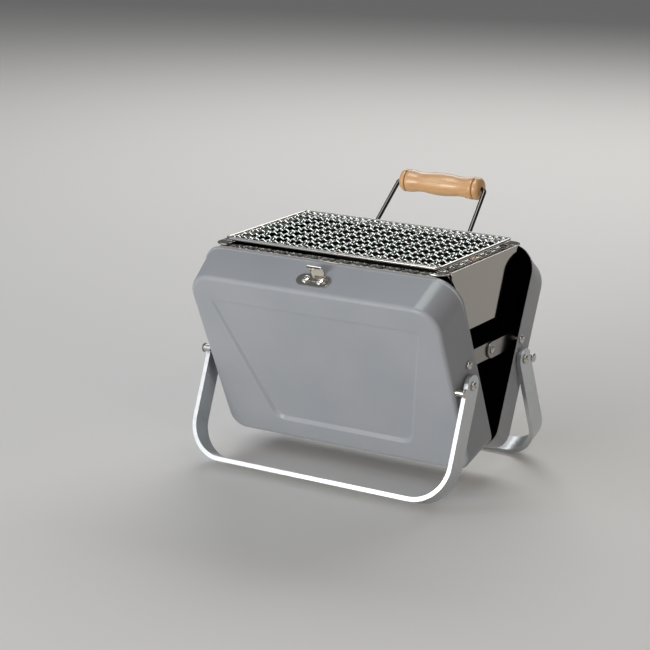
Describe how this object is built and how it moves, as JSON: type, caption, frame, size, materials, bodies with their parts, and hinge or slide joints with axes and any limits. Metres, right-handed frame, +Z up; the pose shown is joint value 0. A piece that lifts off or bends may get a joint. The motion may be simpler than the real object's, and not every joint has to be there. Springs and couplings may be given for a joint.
{
  "type": "tabletop charcoal grill",
  "caption": "Folding charcoal grill: two pressed steel shells stand open in a V on U legs, with a lift-out fire box, a wire grate and a wooden carrying handle.",
  "frame": {"origin": "on the table, under the middle of the whole grill's box", "axes": "+X along the hinge to the right seen from the front, +Y to the back, +Z up"},
  "size_m": [0.2746, 0.2476, 0.2437],
  "materials": {
    "shell": "satin grey enamel outside, satin black inside",
    "leg": "satin",
    "grip": "varnished light wood",
    "rivet": "polished",
    "firebox": "mirror polished stainless",
    "stay": "satin stainless",
    "grate": "bright stainless wire",
    "charcoal_plate": "heat-dulled stainless",
    "wire": "polished wire",
    "fitting": "polished stainless"
  },
  "bodies": {
    "hinge_core": {"hinge_pin": "fitting"},
    "front_half": {"front_shell": "shell", "front_hinge_leaf": "fitting", "front_hinge_rivet_left": "rivet", "front_hinge_rivet_right": "rivet", "front_leg_rivet_left": "rivet", "front_leg_rivet_right": "rivet", "front_leg_stop_left": "rivet", "front_leg_stop_right": "rivet", "front_stay_rivet_left": "rivet", "front_stay_rivet_right": "rivet", "latch_keeper": "fitting", "keeper_rivet_left": "rivet", "keeper_rivet_right": "rivet"},
    "back_half": {"back_shell": "shell", "back_hinge_leaf": "fitting", "back_hinge_rivet_left": "rivet", "back_hinge_rivet_right": "rivet", "back_leg_rivet_left": "rivet", "back_leg_rivet_right": "rivet", "back_leg_stop_left": "rivet", "back_leg_stop_right": "rivet", "back_stay_rivet_left": "rivet", "back_stay_rivet_right": "rivet", "latch_base": "fitting", "latch_rivet_left": "rivet", "latch_rivet_right": "rivet", "handle_bracket_left": "fitting", "handle_bracket_right": "fitting", "handle_rivet_left": "rivet", "handle_rivet_right": "rivet"},
    "front_leg_body": {"front_leg": "leg"},
    "back_leg_body": {"back_leg": "leg"},
    "stay_front_left_body": {"stay_front_link_left": "stay", "stay_knuckle_left": "rivet"},
    "stay_front_right_body": {"stay_front_link_right": "stay", "stay_knuckle_right": "rivet"},
    "stay_back_left_body": {"stay_back_link_left": "stay"},
    "stay_back_right_body": {"stay_back_link_right": "stay"},
    "latch_loop_body": {"latch_loop": "wire"},
    "handle_body": {"handle_bail": "wire", "handle_grip": "grip"},
    "firebox_body": {"firebox_front_wall": "firebox", "firebox_back_wall": "firebox", "firebox_end_plate_left": "firebox", "firebox_end_plate_right": "firebox", "charcoal_plate": "charcoal_plate"},
    "grate_body": {"grate_frame": "grate", "grate_net": "grate"}
  },
  "joints": [
    {"name": "front_fold", "type": "hinge", "parent": "hinge_core", "child": "front_half", "pos_m": [0, -0.02116, 0.03374], "axis": [-1, 0, 0], "range_deg": [0, 23.3]},
    {"name": "back_fold", "type": "hinge", "parent": "hinge_core", "child": "back_half", "pos_m": [0, -0.02116, 0.03374], "axis": [1, 0, 0], "range_deg": [0, 23.3]},
    {"name": "front_leg_swing", "type": "hinge", "parent": "front_half", "child": "front_leg_body", "pos_m": [0, -0.07018, 0.10333], "axis": [1, 0, 0], "range_deg": [0, 43]},
    {"name": "back_leg_swing", "type": "hinge", "parent": "back_half", "child": "back_leg_body", "pos_m": [0, 0.02786, 0.10333], "axis": [-1, 0, 0], "range_deg": [0, 43]},
    {"name": "stay_front_left_turn", "type": "hinge", "parent": "front_half", "child": "stay_front_left_body", "pos_m": [-0.1233, -0.06997, 0.12128], "axis": [-1, 0, 0], "range_deg": [0, 30.18]},
    {"name": "stay_back_left_turn", "type": "hinge", "parent": "stay_front_left_body", "child": "stay_back_left_body", "pos_m": [-0.1233, -0.01666, 0.12128], "axis": [1, 0, 0], "range_deg": [0, 158.3]},
    {"name": "stay_front_right_turn", "type": "hinge", "parent": "front_half", "child": "stay_front_right_body", "pos_m": [0.1233, -0.06997, 0.12128], "axis": [-1, 0, 0], "range_deg": [0, 30.18]},
    {"name": "stay_back_right_turn", "type": "hinge", "parent": "stay_front_right_body", "child": "stay_back_right_body", "pos_m": [0.1233, -0.01666, 0.12128], "axis": [1, 0, 0], "range_deg": [0, 158.3]},
    {"name": "firebox_lift", "type": "slide", "parent": "hinge_core", "child": "firebox_body", "axis": [0, 0, 1], "range_m": [0, 0.19]},
    {"name": "grate_lift", "type": "slide", "parent": "firebox_body", "child": "grate_body", "axis": [0, 0, 1], "range_m": [0, 0.06]},
    {"name": "handle_swing", "type": "hinge", "parent": "back_half", "child": "handle_body", "pos_m": [0, 0.0699, 0.19275], "axis": [1, 0, 0], "range_deg": [0, 80]},
    {"name": "latch_swing", "type": "hinge", "parent": "back_half", "child": "latch_loop_body", "pos_m": [0, 0.05934, 0.19888], "axis": [1, 0, 0], "range_deg": [0, 169.8]}
  ],
  "couplings": [
    {"joint": "back_fold", "follows": "front_fold", "ratio": 1},
    {"joint": "stay_front_left_turn", "follows": "front_fold", "ratio": 1.2947},
    {"joint": "stay_back_left_turn", "follows": "front_fold", "ratio": 6.7934},
    {"joint": "stay_front_right_turn", "follows": "front_fold", "ratio": 1.2947},
    {"joint": "stay_back_right_turn", "follows": "front_fold", "ratio": 6.7934},
    {"joint": "firebox_lift", "follows": "front_fold", "m_per_rad": 0.467}
  ]
}
